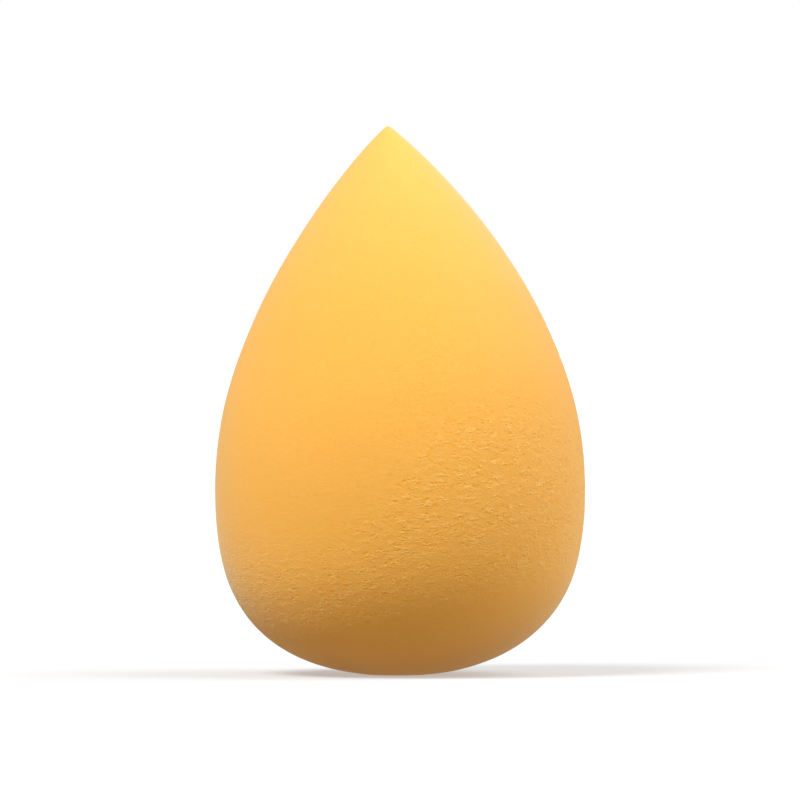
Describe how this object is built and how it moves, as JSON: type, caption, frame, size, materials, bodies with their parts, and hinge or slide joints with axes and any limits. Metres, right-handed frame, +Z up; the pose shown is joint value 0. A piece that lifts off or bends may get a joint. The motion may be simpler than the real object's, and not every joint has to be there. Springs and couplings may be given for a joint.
{
  "type": "makeup sponge",
  "caption": "Teardrop makeup sponge of soft moulded foam: a full round belly that runs out to a pointed tip, and a small flat seat to stand on. Dabs on and blends cosmetics.",
  "frame": {"origin": "on the plane of the flat seat, straight below the middle of the widest circle", "axes": "+Z up, from the seat to the tip; the tip leans a little to -X; the picture looks along +Y, with +X to the right"},
  "size_m": [0.0404, 0.0404, 0.06],
  "materials": {
    "foam": "matt, fine-celled soft polyurethane foam, mango yellow"
  },
  "bodies": {
    "root": {"sponge": "foam"}
  },
  "joints": []
}
